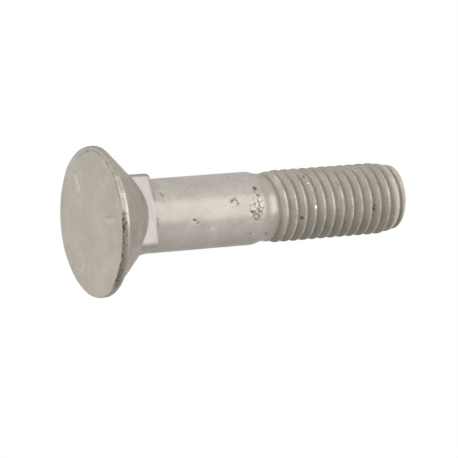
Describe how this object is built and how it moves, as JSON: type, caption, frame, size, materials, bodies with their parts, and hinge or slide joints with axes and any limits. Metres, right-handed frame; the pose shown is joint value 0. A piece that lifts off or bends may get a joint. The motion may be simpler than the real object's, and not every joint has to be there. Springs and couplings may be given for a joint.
{
  "type": "plow bolt",
  "caption": "Steel plow bolt: flat countersunk head, short square neck, plain shank and right-hand rolled thread.",
  "frame": {"origin": "centre of the flat face of the head", "axes": "+Z along the bolt's axis from the head's face to the tip; X and Y square to the flats of the neck"},
  "size_m": [0.0244, 0.0244, 0.0555],
  "materials": {
    "zinc_steel": "worn zinc-grey forged steel, satin on the shank and matte on the thread"
  },
  "bodies": {
    "root": {"plow_bolt": "zinc_steel"}
  },
  "joints": []
}
